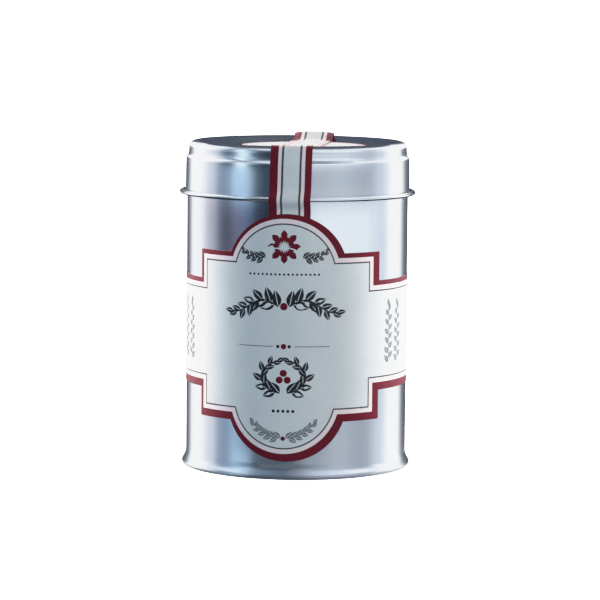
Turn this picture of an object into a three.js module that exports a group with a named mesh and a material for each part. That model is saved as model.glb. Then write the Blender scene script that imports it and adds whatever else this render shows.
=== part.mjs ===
// Round slip-lid spice tin, 60 mm across and 88 mm tall, closed and sealed as it is sold: a tinplate body
// with a rolled foot, a pressed bottom end, a slip lid with a curled edge, a die-cut paper label wrapped
// round the body, a round paper label on the lid, and a paper seal strip over the lid from front to back.
// Millimetres, +Z up. The origin is on the axis at the level of the foot, and the label faces -Y.

import * as THREE from "three";
import { mergeVertices } from "three/addons/utils/BufferGeometryUtils.js";

// Tinplate
const sheet = 0.22; // thickness of every pressed piece
const facets = 60; // flats round each turned piece

// Body: a straight wall, its top edge hemmed inwards and its foot rolled under
const bodyRadius = 30; // outside of the wall
const bodyTop = 82.9;
const hemRadius = 0.65;
const hemFrom = 260; // degrees, from the hem's hidden end round to the wall
const flareTop = 4.4; // where the wall starts to flare into the foot
const flareSweep = 1.6; // length of the upper and the lower handle of that curve
const flareTuck = 0.8;
const footCentre = new THREE.Vector2(30.1, 0.7); // of the roll's section
const footRollWidth = 1.05; // half axes of the roll's section
const footRollHeight = 0.7;
const footRollTo = -72; // degrees, from its widest place round and under
const footFlatOuter = 30.05; // the flat ring that the tin stands on
const footFlatInner = 29.45;
const footLegRadius = 29.2; // inner leg of the roll, which holds the bottom end
const footLegTop = 1.5;

// Bottom end: a shallow dish, its rim trapped in the foot roll
const endRadius = 29.72;
const endPanelTop = 2.6;
const endRound = 0.9;
const endRimBottom = 0.45;

// Lid, with heights above its own lower edge
const lidHeight = 14.45;
const tinHeight = 88.3; // crest of the lid's rim
const panelRecess = 0.75; // depth of the lid's panel below the crest
const panelRadius = 26.1;
const crestRadius = 27.75;
const rimWidth = 1.8; // half axes of the rim's round
const rimDrop = 1.7;
const rimFrom = 130; // degrees, from the panel's edge over the crest to the ring
const stepTop = 12.75; // where the rim starts to sweep out into the skirt
const stepBottom = 9.75;
const stepSweep = 2.6; // length of the upper and the lower handle of that curve
const stepTuck = 1.6;
const skirtTopRadius = 30.32;
const curlCentre = new THREE.Vector2(31.14, 0.65); // outward curl on the lid's edge
const curlWidth = 0.91; // half axes of its section
const curlHeight = 0.65;
const curlFrom = 180; // degrees, from the skirt under and round to the curl's free edge
const curlTo = 480;

// Paper
const paper = 0.12;
const glueGap = 0.06; // between a paper and what it is stuck to

// Body label: a plaque with an arch above and below, on a band that goes round the tin
const labelCentreHeight = 37.8;
const bandHalfHeight = 14.65;
const plaqueHalfWidth = 27.2;
const plaqueHalfHeight = 22.4;
const archHalfChord = 15.65;
const archRise = 10.45;
const labelLap = 6.2; // overlap of the band's ends at the back
const labelLapRamp = 5.5; // length over which the outer end climbs onto the inner one

// Round label on the lid
const lidLabelRadius = 16.8;
const lidLabelOffset = 1.6;

// Seal strip
const sealWidth = 11;
const sealFrontEnd = 62.6; // height of the end under the body label
const sealBackEnd = 59.6;
const sealFrontRise = 0.4; // how far the paper stands off the crest of the rim
const sealBackRise = 0.85;
const sealStartOffset = 0.55; // sideways place of the front end
const sealLean = 0.018; // sideways drift for each millimetre along the strip
const sealStandOff = 0.33; // clearance where the strip bends over the curl and the step
// Points of its route by their height above the lid's lower edge
const sealLeaves = -3.15; // parts from the wall
const sealLeans = -2.6; // starts to lean out to the curl
const sealOnSkirt = 4.6;
const sealOnShoulder = 9.1;
// and by how far out and down they lie from the crest of the rim
const sealBesideRing = new THREE.Vector2(2.1, 2.5);
const sealOnRim = new THREE.Vector2(1.55, 0.35);
const sealInsideCrest = new THREE.Vector2(-1.6, 0.25);
const sealFrontRamp = 4.2; // how far inside the crest it has come down to the panel
const sealBackRamp = 14.5;
const sealRunOut = 6.75; // and how much further in it lies flat
const sealSettle = 0.06; // that it still stands off at the foot of a ramp

// Number of flats along each bend
const steps = { hem: 5, roll: 5, flare: 5, endRound: 3, rim: 6, step: 5, curl: 10, strip: 72, stripWidth: 4 };
const labelSteps = { band: 25, ledge: 4, arch: 18, lapRamp: 3, lap: 3 };
const weld = 1e-3; // vertices nearer than this are one

const tinplate = new THREE.MeshStandardMaterial({ color: 0xb9c0c9, metalness: 1, roughness: 0.3 });
const labelPaper = new THREE.MeshStandardMaterial({ color: 0xe9ecea, metalness: 0, roughness: 0.7 });
const sealPaper = new THREE.MeshStandardMaterial({ color: 0x7a1b2b, metalness: 0, roughness: 0.65 });

const lidSeat = tinHeight - lidHeight; // height of the lid's lower edge
const panelTop = lidHeight - panelRecess;
const skirtBottomRadius = curlCentre.x - curlWidth + sheet; // beside the curl

function arc(centreR, centreZ, radiusR, radiusZ, fromDegrees, toDegrees, count) {
  const from = THREE.MathUtils.degToRad(fromDegrees);
  const to = THREE.MathUtils.degToRad(toDegrees);
  return new THREE.EllipseCurve(centreR, centreZ, radiusR, radiusZ, from, to, to < from).getPoints(count);
}

function point(radius, height) {
  return new THREE.Vector2(radius, height);
}

// Merges coincident vertices and drops the triangles that collapse, such as those on the axis.
function closed(geometry) {
  geometry.deleteAttribute("normal");
  geometry.deleteAttribute("uv");
  const merged = mergeVertices(geometry, weld);
  const source = merged.index.array;
  const kept = [];
  for (let i = 0; i < source.length; i += 3) {
    const [a, b, c] = source.slice(i, i + 3);
    if (a !== b && b !== c && c !== a) kept.push(a, b, c);
  }
  merged.setIndex(kept);
  merged.computeVertexNormals();
  return merged;
}

// Turns a profile of (radius, height) points about the Z axis.
function turned(profile) {
  return closed(new THREE.LatheGeometry(profile, facets).rotateX(Math.PI / 2));
}

// Bends a thin flat grid into a sheet: place gives each point from its column, its row and its face.
function bentSheet(columns, rows, place) {
  const grid = new THREE.BoxGeometry(1, 1, 1, columns, rows, 1);
  const position = grid.getAttribute("position");
  for (let i = 0; i < position.count; i++) {
    const column = Math.round((position.getX(i) + 0.5) * columns);
    const row = Math.round((position.getY(i) + 0.5) * rows);
    const onOuterFace = position.getZ(i) > 0;
    position.setXYZ(i, ...place(column, row, onOuterFace));
  }
  return closed(grid);
}

// One face of the body's sheet, from the hem's end down to the end of the foot's leg, at a depth below the
// outer face.
function bodyLine(depth) {
  const wall = bodyRadius - depth;
  const rollWidth = footRollWidth - depth;
  const rollHeight = footRollHeight - depth;
  const hemInside = hemRadius - depth;
  const hem = arc(bodyRadius - hemRadius, bodyTop - hemRadius, hemInside, hemInside, hemFrom, 0, steps.hem);
  const roll = arc(footCentre.x, footCentre.y, rollWidth, rollHeight, 0, footRollTo, steps.roll);
  // The flare leaves the wall upright and comes down upright on the roll's widest place.
  const widest = footCentre.x + rollWidth;
  const flare = new THREE.CubicBezierCurve(
    point(wall, flareTop),
    point(wall, flareTop - flareSweep),
    point(widest, footCentre.y + flareTuck),
    point(widest, footCentre.y),
  ).getPoints(steps.flare);
  const leg = footLegRadius + depth;
  return [
    ...hem,
    ...flare.slice(0, -1),
    ...roll,
    point(footFlatOuter, depth),
    point(footFlatInner, depth),
    point(leg, footFlatInner - footLegRadius + depth / 2),
    point(leg, footLegTop),
  ];
}

function bodyGeometry() {
  const outer = bodyLine(0);
  const inner = bodyLine(sheet).reverse();
  return turned([...outer, ...inner, outer[0]].reverse());
}

function endLine(depth) {
  const centre = endRadius - endRound;
  const inside = endRound - depth;
  const round = arc(centre, endPanelTop - endRound, inside, inside, 90, 0, steps.endRound);
  return [point(0, endPanelTop - depth), ...round, point(endRadius - depth, endRimBottom)];
}

function bottomEndGeometry() {
  return turned([...endLine(0), ...endLine(sheet).reverse()].reverse());
}

// One face of the lid's sheet, from the middle of the panel out and down to the end of the curl.
function lidLine(depth) {
  const rimCentre = lidHeight - rimDrop;
  const rim = arc(crestRadius, rimCentre, rimWidth - depth, rimDrop - depth, rimFrom, 0, steps.rim);
  const ring = crestRadius + rimWidth - depth;
  const skirtTop = skirtTopRadius - depth;
  const step = new THREE.CubicBezierCurve(
    point(ring, stepTop),
    point(ring, stepTop - stepSweep),
    point(skirtTop, stepBottom + stepTuck),
    point(skirtTop, stepBottom),
  ).getPoints(steps.step);
  // The skirt's inner face becomes the outside of the curl.
  const curlReach = curlWidth - sheet + depth;
  const curlRise = curlHeight - sheet + depth;
  const curl = arc(curlCentre.x, curlCentre.y, curlReach, curlRise, curlFrom, curlTo, steps.curl);
  return [
    point(0, panelTop - depth),
    point(panelRadius, panelTop - depth),
    ...rim.slice(0, -1),
    ...step,
    ...curl,
  ];
}

function lidGeometry() {
  return turned([...lidLine(0), ...lidLine(sheet).reverse()].reverse());
}

// Half height of the label's plaque at a distance sideways from its middle.
function plaqueReach(sideways) {
  if (Math.abs(sideways) >= archHalfChord) return plaqueHalfHeight;
  const archRadius = (archHalfChord ** 2 + archRise ** 2) / (2 * archRise);
  return plaqueHalfHeight + archRise - archRadius + Math.sqrt(archRadius ** 2 - sideways ** 2);
}

function evenly(from, to, count) {
  return Array.from({ length: count + 1 }, (_, i) => from + ((to - from) * i) / count);
}

// The label lies outside the tucked end of the seal strip. Its rows are the plaque's lower edge, the band's
// two edges and the plaque's upper edge, and away from the plaque the outer rows fall in with the band's.
function labelGeometry() {
  const innerRadius = bodyRadius + 2 * glueGap + paper;
  const backHalf = Math.PI * innerRadius;
  const band = (from, to, count) =>
    evenly(from, to, count).map((sideways) => ({ sideways, reach: bandHalfHeight }));
  const plaque = (from, to, count) =>
    evenly(from, to, count).map((sideways) => ({ sideways, reach: plaqueReach(sideways) }));
  const stations = [
    ...band(-backHalf, -plaqueHalfWidth, labelSteps.band),
    ...plaque(-plaqueHalfWidth, -archHalfChord, labelSteps.ledge),
    ...plaque(-archHalfChord, archHalfChord, labelSteps.arch).slice(1),
    ...plaque(archHalfChord, plaqueHalfWidth, labelSteps.ledge).slice(1),
    ...band(plaqueHalfWidth, backHalf - labelLapRamp, labelSteps.band),
    ...band(backHalf - labelLapRamp, backHalf, labelSteps.lapRamp).slice(1),
    ...band(backHalf, backHalf + labelLap, labelSteps.lap).slice(1),
  ];
  return bentSheet(stations.length - 1, 3, (column, row, onOuterFace) => {
    const { sideways, reach } = stations[column];
    const climb = THREE.MathUtils.smoothstep(sideways, backHalf - labelLapRamp, backHalf) * (paper + glueGap);
    const radius = innerRadius + climb + (onOuterFace ? paper : 0);
    const angle = sideways / innerRadius;
    const height = labelCentreHeight + [-reach, -bandHalfHeight, bandHalfHeight, reach][row];
    return [radius * Math.sin(angle), -radius * Math.cos(angle), height];
  });
}

// One side of the seal strip's path as (distance from the axis, height), from its end up to the lid's middle.
function sealSide(end, rise, ramp) {
  const wall = bodyRadius + glueGap;
  const curlEdge = curlCentre.x + curlWidth + sealStandOff;
  const overLabel = lidSeat + panelTop + paper + 2 * glueGap;
  const fromCrest = (offset) => point(crestRadius + offset.x, tinHeight - offset.y);
  return [
    point(wall, end),
    point(wall, lidSeat + sealLeaves),
    point(wall + glueGap / 2, lidSeat + sealLeans),
    point(curlEdge, lidSeat + curlCentre.y),
    point(skirtBottomRadius + glueGap, lidSeat + sealOnSkirt),
    point(skirtTopRadius + sealStandOff, lidSeat + sealOnShoulder),
    fromCrest(sealBesideRing),
    fromCrest(sealOnRim),
    point(crestRadius, tinHeight + rise),
    point(crestRadius + sealInsideCrest.x, tinHeight + rise - sealInsideCrest.y),
    point(crestRadius - ramp, overLabel + sealSettle),
    point(crestRadius - ramp - sealRunOut, overLabel),
  ];
}

// The strip stands across the tin, so its edges lie nearer the middle than its centre line on the round
// wall and level with it on the flat panel.
function sealGeometry() {
  const front = sealSide(sealFrontEnd, sealFrontRise, sealFrontRamp);
  const back = sealSide(sealBackEnd, sealBackRise, sealBackRamp).reverse();
  const route = [
    ...front.map((p) => new THREE.Vector3(0, -p.x, p.y)),
    ...back.map((p) => new THREE.Vector3(0, p.x, p.y)),
  ];
  const path = new THREE.CatmullRomCurve3(route, false, "centripetal");
  const length = path.getLength();
  return bentSheet(steps.stripWidth, steps.strip, (column, row, onOuterFace) => {
    const share = row / steps.strip;
    const centre = path.getPointAt(share);
    const along = path.getTangentAt(share);
    const across = sealWidth * (column / steps.stripWidth - 0.5);
    const sideways = sealStartOffset + sealLean * length * share + across;
    const roundness = THREE.MathUtils.smoothstep(Math.abs(centre.y), lidLabelRadius, panelRadius);
    const setBack = (roundness * sideways ** 2) / (2 * bodyRadius);
    const thickness = onOuterFace ? paper : 0;
    return [
      sideways,
      centre.y - Math.sign(centre.y) * setBack - along.z * thickness,
      centre.z + along.y * thickness,
    ];
  });
}

function named(name, geometry, material) {
  const mesh = new THREE.Mesh(geometry, material);
  mesh.name = name;
  return mesh;
}

const lidLabelGeometry = closed(new THREE.CylinderGeometry(lidLabelRadius, lidLabelRadius, paper, facets));
const lidLabel = named("lid_label", lidLabelGeometry, labelPaper);
lidLabel.rotation.x = Math.PI / 2;
lidLabel.position.set(lidLabelOffset, 0, panelTop + glueGap + paper / 2);

const closure = new THREE.Group();
closure.position.z = lidSeat;
closure.add(named("lid", lidGeometry(), tinplate), lidLabel);

const can = new THREE.Group();
can.add(named("tin_body", bodyGeometry(), tinplate), named("bottom_end", bottomEndGeometry(), tinplate));

const tin = new THREE.Group();
tin.add(can, closure);
tin.add(named("body_label", labelGeometry(), labelPaper), named("seal_strip", sealGeometry(), sealPaper));

export default tin;
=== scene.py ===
# Round slip-lid spice tin: bright tinplate, a wrapped paper label, a lid label and a paper seal strip
import bmesh
import bpy
import math
from functools import partial
from mathutils import Matrix, Vector


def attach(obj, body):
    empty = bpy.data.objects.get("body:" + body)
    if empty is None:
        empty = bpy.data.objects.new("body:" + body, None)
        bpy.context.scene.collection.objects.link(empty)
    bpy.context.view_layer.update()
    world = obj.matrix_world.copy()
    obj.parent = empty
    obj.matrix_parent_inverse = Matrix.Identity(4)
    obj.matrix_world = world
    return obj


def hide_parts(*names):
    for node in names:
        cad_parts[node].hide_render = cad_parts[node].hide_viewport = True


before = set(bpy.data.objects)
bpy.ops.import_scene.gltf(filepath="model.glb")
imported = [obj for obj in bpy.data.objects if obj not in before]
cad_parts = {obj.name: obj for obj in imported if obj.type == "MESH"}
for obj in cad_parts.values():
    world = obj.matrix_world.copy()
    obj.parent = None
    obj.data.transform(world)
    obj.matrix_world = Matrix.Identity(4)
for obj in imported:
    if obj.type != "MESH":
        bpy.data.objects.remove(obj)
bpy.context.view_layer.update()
mm = 0.001
scene = bpy.context.scene
scene.view_settings.view_transform = "Standard"

# Brightness above the knee is eased towards white, so that pale paper keeps its tone where it faces a lamp
toneShoulder = {"reach": 3.0, "points": [(0.8, 0.8), (1.0, 0.9), (1.5, 0.955)]}


def easeHighlights():
    view = scene.view_settings
    view.use_curve_mapping = True
    mapping = view.curve_mapping
    mapping.white_level = (toneShoulder["reach"],) * 3
    curve = mapping.curves[3]
    for light, shown in toneShoulder["points"]:
        curve.points.new(light / toneShoulder["reach"], shown)
    for point in curve.points:
        point.handle_type = "VECTOR"
    mapping.update()


easeHighlights()

# The camera stands a little to the right of the label's middle and looks slightly down
cameraPlace = {
    "distance": 856.3,  # mm from the tin's axis
    "height": 136.9,
    "azimuth": 5.3,  # degrees towards +X
    "pitch": 6.14,
    "yaw": -0.06,
    "roll": 0.508,
    "lens": 189.5,
    "farthest": 20,  # m that it sees
}


def standing(distance, azimuth, height):  # a place round the tin, its azimuth from the front towards +X
    around = math.radians(azimuth)
    return distance * math.sin(around) * mm, -distance * math.cos(around) * mm, height * mm


def objectOf(name, data):
    made = bpy.data.objects.new(name, data)
    scene.collection.objects.link(made)
    return made


def placeCamera():
    place = cameraPlace
    data = bpy.data.cameras.new("tinCamera")
    data.lens = place["lens"]
    data.clip_end = place["farthest"]
    camera = objectOf("tinCamera", data)
    spot = Matrix.Translation(standing(place["distance"], place["azimuth"], place["height"]))
    turn = Matrix.Rotation(math.radians(place["azimuth"] + place["yaw"]), 4, "Z")
    tip = Matrix.Rotation(math.radians(90 - place["pitch"]), 4, "X")
    lean = Matrix.Rotation(math.radians(place["roll"]), 4, "Z")
    camera.matrix_world = spot @ turn @ tip @ lean
    scene.camera = camera


placeCamera()
print("camera placed")


# Small helpers for node trees

def feed(socket, value):  # joins a socket, or sets a plain value
    if isinstance(value, bpy.types.NodeSocket):
        socket.id_data.links.new(value, socket)
    else:
        socket.default_value = value


def openSocket(sockets, name):  # the one of several sockets of this name that is in use
    return next(s for s in sockets if s.name == name and s.enabled)


def feedAll(node, values):
    for name, value in values.items():
        feed(openSocket(node.inputs, name), value)


def addNode(tree, kind, values=None, **settings):
    node = tree.nodes.new(kind)
    for name, value in settings.items():
        setattr(node, name, value)
    feedAll(node, values or {})
    return node


def emptyTree(owner):
    owner.use_nodes = True
    owner.node_tree.nodes.clear()
    return owner.node_tree


def combine(kind, values, **settings):  # a node fed in order, in the tree of whichever value is a socket
    tree = next(v.id_data for v in values if isinstance(v, bpy.types.NodeSocket))
    node = addNode(tree, kind, **settings)
    for socket, value in zip(node.inputs, values):
        feed(socket, value)
    return node.outputs[0]


def calc(operation, first, second=0.0, third=0.0):
    return combine("ShaderNodeMath", (first, second, third), operation=operation)


plus = partial(calc, "ADD")
minus = partial(calc, "SUBTRACT")
times = partial(calc, "MULTIPLY")
ratio = partial(calc, "DIVIDE")


def joined(x, y, z):
    return combine("ShaderNodeCombineXYZ", (x, y, z))


def parted(vector):
    return addNode(vector.id_data, "ShaderNodeSeparateXYZ", {"Vector": vector}).outputs


def spanned(value, fromLow, fromHigh, low=0.0, high=1.0, smooth=False):
    limits = {"Value": value, "From Min": fromLow, "From Max": fromHigh, "To Min": low, "To Max": high}
    kind = "SMOOTHSTEP" if smooth else "LINEAR"
    node = addNode(value.id_data, "ShaderNodeMapRange", limits, interpolation_type=kind)
    return openSocket(node.outputs, "Result")


def blended(share, first, second):
    a, b = (c if isinstance(c, bpy.types.NodeSocket) else (*c, 1.0) for c in (first, second))
    node = addNode(share.id_data, "ShaderNodeMix", data_type="RGBA")
    feedAll(node, {"Factor": share, "A": a, "B": b})
    return openSocket(node.outputs, "Result")


def noise(coords, scale, detail=2.0, stretch=(1, 1, 1)):
    tree = coords.id_data
    place = addNode(tree, "ShaderNodeMapping", {"Vector": coords, "Scale": stretch}).outputs[0]
    values = {"Vector": place, "Scale": scale, "Detail": detail}
    return addNode(tree, "ShaderNodeTexNoise", values).outputs["Fac"]


def bumped(height, strength, distance):
    values = {"Strength": strength, "Distance": distance, "Height": height}
    return addNode(height.id_data, "ShaderNodeBump", values).outputs["Normal"]


def startMaterial(name):
    material = bpy.data.materials.new(name)
    material.use_nodes = True
    tree = material.node_tree
    place = addNode(tree, "ShaderNodeTexCoord").outputs["Object"]
    return material, tree.nodes["Principled BSDF"], place


# Tinplate: satin, faintly streaked by the rolls, rubbed bright on the curl and the foot
tinFinish = {
    "bright": (0.80, 0.825, 0.86),
    "dull": (0.74, 0.765, 0.805),
    "rubbed": (0.88, 0.90, 0.92),
    "smoothest": 0.19,
    "roughest": 0.27,
    "grainScale": 3600,  # per metre
    "streakScale": 900,
    "cloudScale": 45,
    "streakStretch": (1, 1, 0.05),
    "streakShare": 0.3,
    "toneSpan": (0.35, 0.65),
    "cloudInRoughness": 0.5,
    "roughnessSpan": (0.45, 1.05),
    "streakInBump": 0.15,
    "bump": 0.05,
    "bumpDepth": 0.00002,
    "rubFrom": 30.95,  # mm from the axis
    "rubTo": 31.5,
    "weldAt": 157,  # degrees round from the front
    "weldHalfWidth": 0.55,  # mm
    "weldEdge": 0.7,  # share of it that is even
    "weldDepths": (0.5, 0.3),  # mm inside the wall's face, between which it comes in
    "weldFade": 0.5,  # mm above and below the lid's edge
    "weldRoughness": 0.12,
    "weld": (0.50, 0.50, 0.53),
}


def tinplateMaterial():
    material, shader, place = startMaterial("tinplate")
    s = tinFinish
    grain = noise(place, s["grainScale"], 3)
    streak = noise(place, s["streakScale"], 4, s["streakStretch"])
    cloud = noise(place, s["cloudScale"], 3)
    x, y, z = parted(place)
    reach = calc("SQRT", plus(times(x, x), times(y, y)))
    rub = spanned(reach, s["rubFrom"] * mm, s["rubTo"] * mm, smooth=True)
    # the weld shows on the outside of the wall, below the lid
    offWeld = calc("ABSOLUTE", minus(calc("ARCTAN2", x, times(y, -1.0)), math.radians(s["weldAt"])))
    half = s["weldHalfWidth"] / bodySizes["radius"]
    onWall = spanned(reach, *((bodySizes["radius"] - depth) * mm for depth in s["weldDepths"]))
    belowLid = spanned(z, (lidSeat - s["weldFade"]) * mm, (lidSeat + s["weldFade"]) * mm, 1, 0)
    weld = times(spanned(offWeld, half * s["weldEdge"], half, 1, 0, True), times(onWall, belowLid))
    tone = plus(times(streak, s["streakShare"]), times(cloud, 1 - s["streakShare"]))
    colour = blended(spanned(tone, *s["toneSpan"]), s["dull"], s["bright"])
    colour = blended(rub, colour, s["rubbed"])
    rough = plus(grain, times(cloud, s["cloudInRoughness"]))
    rough = spanned(rough, *s["roughnessSpan"], s["smoothest"], s["roughest"])
    feedAll(shader, {
        "Base Color": blended(weld, colour, s["weld"]),
        "Metallic": 1.0,
        "Roughness": plus(rough, times(weld, s["weldRoughness"])),
        "Normal": bumped(plus(grain, times(streak, s["streakInBump"])), s["bump"], s["bumpDepth"]),
    })
    return material


# Papers and inks: every print lies on the same coated stock, so they differ in colour and gloss alone
paperStock = {
    "fibreScale": 1500, "mottleScale": 120,  # per metre
    "fibreStretch": (1, 1, 0.6), "fibreShare": 0.55, "toneSpan": (0.36, 0.64), "roughnessSpan": (0.3, 0.7),
    "bump": 0.12, "bumpDepth": 0.00003, "sheenRoughness": 0.4, "roughnessRange": 0.05,
}


def paperMaterial(name, light, deep, roughness, specular, sheen=0.0):
    material, shader, place = startMaterial(name)
    s = paperStock
    fibre = noise(place, s["fibreScale"], 5, s["fibreStretch"])
    mottle = noise(place, s["mottleScale"], 3)
    tone = plus(times(fibre, s["fibreShare"]), times(mottle, 1 - s["fibreShare"]))
    limits = (roughness - s["roughnessRange"], roughness + s["roughnessRange"])
    feedAll(shader, {
        "Base Color": blended(spanned(tone, *s["toneSpan"]), deep, light),
        "Roughness": spanned(mottle, *s["roughnessSpan"], *limits),
        "Specular IOR Level": specular,
        "Sheen Weight": sheen,
        "Sheen Roughness": s["sheenRoughness"],
        "Normal": bumped(fibre, s["bump"], s["bumpDepth"]),
    })
    return material


# Geometry Nodes trees

def startTree(name, inputs):
    tree = bpy.data.node_groups.new(name, "GeometryNodeTree")
    tree.interface.new_socket("Geometry", in_out="INPUT", socket_type="NodeSocketGeometry")
    for label, kind in inputs.items():
        tree.interface.new_socket(label, in_out="INPUT", socket_type="NodeSocket" + kind)
    tree.interface.new_socket("Geometry", in_out="OUTPUT", socket_type="NodeSocketGeometry")
    return tree, addNode(tree, "NodeGroupInput").outputs, addNode(tree, "NodeGroupOutput").inputs


def field(tree, kind):  # its kind is Index, Position or Tangent
    return addNode(tree, "GeometryNodeInput" + kind).outputs[0]


def through(kind, geometry, **inputs):  # passes geometry through a node
    node = addNode(geometry.id_data, "GeometryNode" + kind, inputs)
    feed(node.inputs[0], geometry)
    return node.outputs[0]


def roundAxis(reach, angle, height):  # a place at this distance and angle round the axis, 0 at the front
    return joined(times(reach, calc("SINE", angle)), times(reach, times(calc("COSINE", angle), -1.0)), height)


def endTree(geometry, material, output):  # real geometry, smooth and with its material
    smooth = through("SetShadeSmooth", through("RealizeInstances", geometry))
    feed(output["Geometry"], through("SetMaterial", smooth, Material=material))


def endZones(geometry, zones, given, output):  # and with a material for each number in the zone attribute
    endTree(geometry, given[zones[0]], output)
    painted = output["Geometry"].links[0].from_socket
    tree = painted.id_data
    zone = addNode(tree, "GeometryNodeInputNamedAttribute", {"Name": "zone"}, data_type="INT")
    for number, name in enumerate(zones):
        same = addNode(tree, "FunctionNodeCompare", data_type="INT", operation="EQUAL")
        feedAll(same, {"A": openSocket(zone.outputs, "Attribute"), "B": number})
        painted = through("SetMaterial", painted, Selection=same.outputs[0], Material=given[name])
    feed(output["Geometry"], painted)


def turnProfileTree():  # turns a line of (radius, 0, height) points about the axis
    tree, given, output = startTree("turnProfile", {"Segments": "Int", "Material": "Material"})
    size = addNode(tree, "GeometryNodeAttributeDomainSize", component="MESH")
    feed(size.inputs[0], given["Geometry"])
    count = size.outputs["Point Count"]
    cells = {"Vertices X": plus(given["Segments"], 1.0), "Vertices Y": count}
    grid = addNode(tree, "GeometryNodeMeshGrid", cells)
    index = field(tree, "Index")
    ring = calc("FLOOR", ratio(plus(index, 0.5), count))
    pick = addNode(tree, "GeometryNodeSampleIndex", data_type="FLOAT_VECTOR", domain="POINT")
    feedAll(pick, {"Geometry": given["Geometry"], "Value": field(tree, "Position"),
                   "Index": minus(index, times(ring, count))})
    profile = parted(openSocket(pick.outputs, "Value"))
    angle = times(ratio(ring, given["Segments"]), math.tau)
    placed = through("SetPosition", grid.outputs["Mesh"], Position=roundAxis(profile[0], angle, profile[2]))
    closed = through("MergeByDistance", placed, Distance=turnedFinish["mergeWithin"] * mm)
    endTree(closed, given["Material"], output)
    return tree


def wrapRoundTree(zones):  # wraps a flat sheet (sideways, out, height) round the tin
    kinds = {"Radius": "Float", **dict.fromkeys(zones, "Material")}
    tree, given, output = startTree("wrapRound_" + "_".join(zones), kinds)
    flat = parted(field(tree, "Position"))
    angle = ratio(flat[0], given["Radius"])
    place = roundAxis(plus(flat[1], given["Radius"]), angle, flat[2])
    endZones(through("SetPosition", given["Geometry"], Position=place), zones, given, output)
    return tree


def layStripTree(zones):  # lays a flat strip (sideways, out, along) over a path that crosses the tin
    measures = ["Barrel", "Flat from", "Round from", "Offset", "Lean", "Half width", "Crown", "Crown from",
                "Crown to"]
    kinds = {"Path": "Object", **dict.fromkeys(measures, "Float"), **dict.fromkeys(zones, "Material")}
    tree, given, output = startTree("layStrip", kinds)
    flat = parted(field(tree, "Position"))
    route = addNode(tree, "GeometryNodeObjectInfo", {"Object": given["Path"]})
    pick = addNode(tree, "GeometryNodeSampleCurve", mode="LENGTH")
    feed(pick.inputs[0], route.outputs["Geometry"])
    feed(openSocket(pick.inputs, "Length"), flat[2])
    centre = parted(pick.outputs["Position"])
    ahead = parted(pick.outputs["Tangent"])
    # its thickness stands square to the path
    outY = times(times(ahead[2], -1.0), flat[1])
    outZ = times(ahead[1], flat[1])
    roundness = spanned(calc("ABSOLUTE", centre[1]), given["Flat from"], given["Round from"], smooth=True)
    sideways = plus(flat[0], calc("MULTIPLY_ADD", flat[2], given["Lean"], given["Offset"]))
    sagitta = ratio(times(sideways, sideways), times(given["Barrel"], 2.0))
    back = times(times(sagitta, roundness), calc("SIGN", centre[1]))
    # its edges droop where it stands off the rear rim
    edge = calc("POWER", calc("ABSOLUTE", ratio(flat[0], given["Half width"])), 4.0)
    begin = spanned(centre[1], given["Crown from"], given["Crown to"], smooth=True)
    end = spanned(centre[1], given["Round from"], given["Barrel"], 1, 0, True)
    droop = times(times(times(edge, given["Crown"]), begin), end)
    place = joined(sideways, plus(minus(centre[1], back), outY), plus(minus(centre[2], droop), outZ))
    endZones(through("SetPosition", given["Geometry"], Position=place), zones, given, output)
    return tree


sprigForm = {"closesFrom": 0.8, "closedTo": 0.15, "jitter": 0.1, "stemSides": 6}


def leafSprigTree():  # a flat stem with leaves on both sides, in the (sideways, height) plane
    s = sprigForm
    measures = ["Leaf size", "Tip share", "Leaf angle", "Stem width", "Ink depth"]
    tree, given, output = startTree("leafSprig", {
        "Leaf": "Object", "Leaves": "Int", **dict.fromkeys(measures, "Float"), "Seed": "Int",
        "Material": "Material"})
    curve = through("MeshToCurve", given["Geometry"])
    spots = through("ResampleCurve", curve, Count=given["Leaves"])
    tangent = parted(field(tree, "Tangent"))
    heading = calc("ARCTAN2", tangent[2], tangent[0])
    index = field(tree, "Index")
    side = minus(1.0, times(calc("MODULO", index, 2.0), 2.0))
    share = ratio(index, minus(given["Leaves"], 1.0))
    opening = times(given["Leaf angle"], spanned(share, s["closesFrom"], 1.0, 1.0, s["closedTo"]))
    jitter = addNode(tree, "FunctionNodeRandomValue", data_type="FLOAT")
    feedAll(jitter, {"Min": -s["jitter"], "Max": s["jitter"], "Seed": given["Seed"]})
    swing = plus(times(side, opening), openSocket(jitter.outputs, "Value"))
    turn = times(plus(heading, swing), -1.0)
    size = times(given["Leaf size"], spanned(share, 0.0, 1.0, 1.0, given["Tip share"]))
    leaf = addNode(tree, "GeometryNodeObjectInfo", {"Object": given["Leaf"]})
    leaves = through("InstanceOnPoints", spots, Instance=leaf.outputs["Geometry"],
                     Rotation=joined(0.0, turn, 0.0), Scale=joined(size, 1.0, size))
    rod = addNode(tree, "GeometryNodeCurvePrimitiveCircle", mode="RADIUS")
    feedAll(rod, {"Resolution": s["stemSides"], "Radius": times(given["Stem width"], 0.5)})
    stem = through("CurveToMesh", curve, **{"Profile Curve": rod.outputs[0], "Fill Caps": True})
    press = ratio(given["Ink depth"], given["Stem width"])
    both = addNode(tree, "GeometryNodeJoinGeometry")
    feed(both.inputs[0], leaves)
    feed(both.inputs[0], through("Transform", stem, Scale=joined(1.0, press, 1.0)))
    endTree(both.outputs[0], given["Material"], output)
    return tree


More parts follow.
